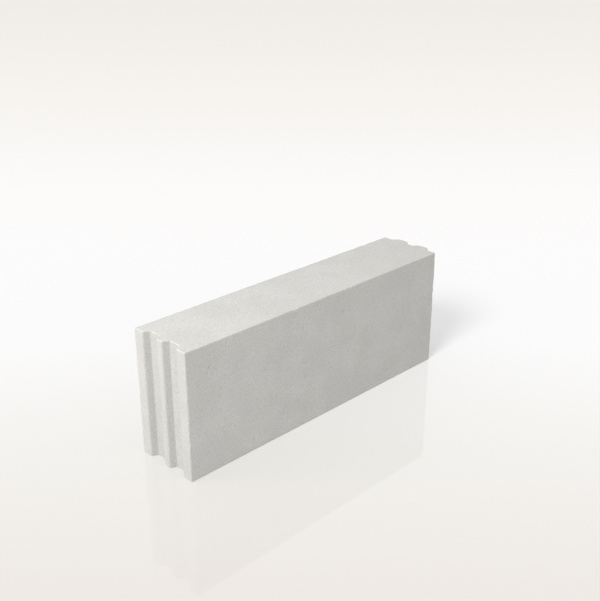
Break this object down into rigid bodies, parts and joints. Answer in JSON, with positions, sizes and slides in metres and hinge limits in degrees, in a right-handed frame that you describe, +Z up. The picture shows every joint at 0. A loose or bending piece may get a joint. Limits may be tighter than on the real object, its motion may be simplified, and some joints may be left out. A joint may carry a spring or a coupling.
{
  "type": "aerated concrete block",
  "caption": "Solid light wall block of aerated concrete, with upright grooves in one end and matching tongues on the other.",
  "frame": {"origin": "centre of the lower bed face, halfway between the end lands, on the floor the block stands on", "axes": "+X along the wall, towards the tongued end; +Y through the wall's thickness; +Z up, across the courses"},
  "size_m": [0.6105, 0.125, 0.225],
  "materials": {
    "aerated_concrete": "sawn, fine-pored, matt"
  },
  "bodies": {
    "root": {"block": "aerated_concrete"}
  },
  "joints": []
}
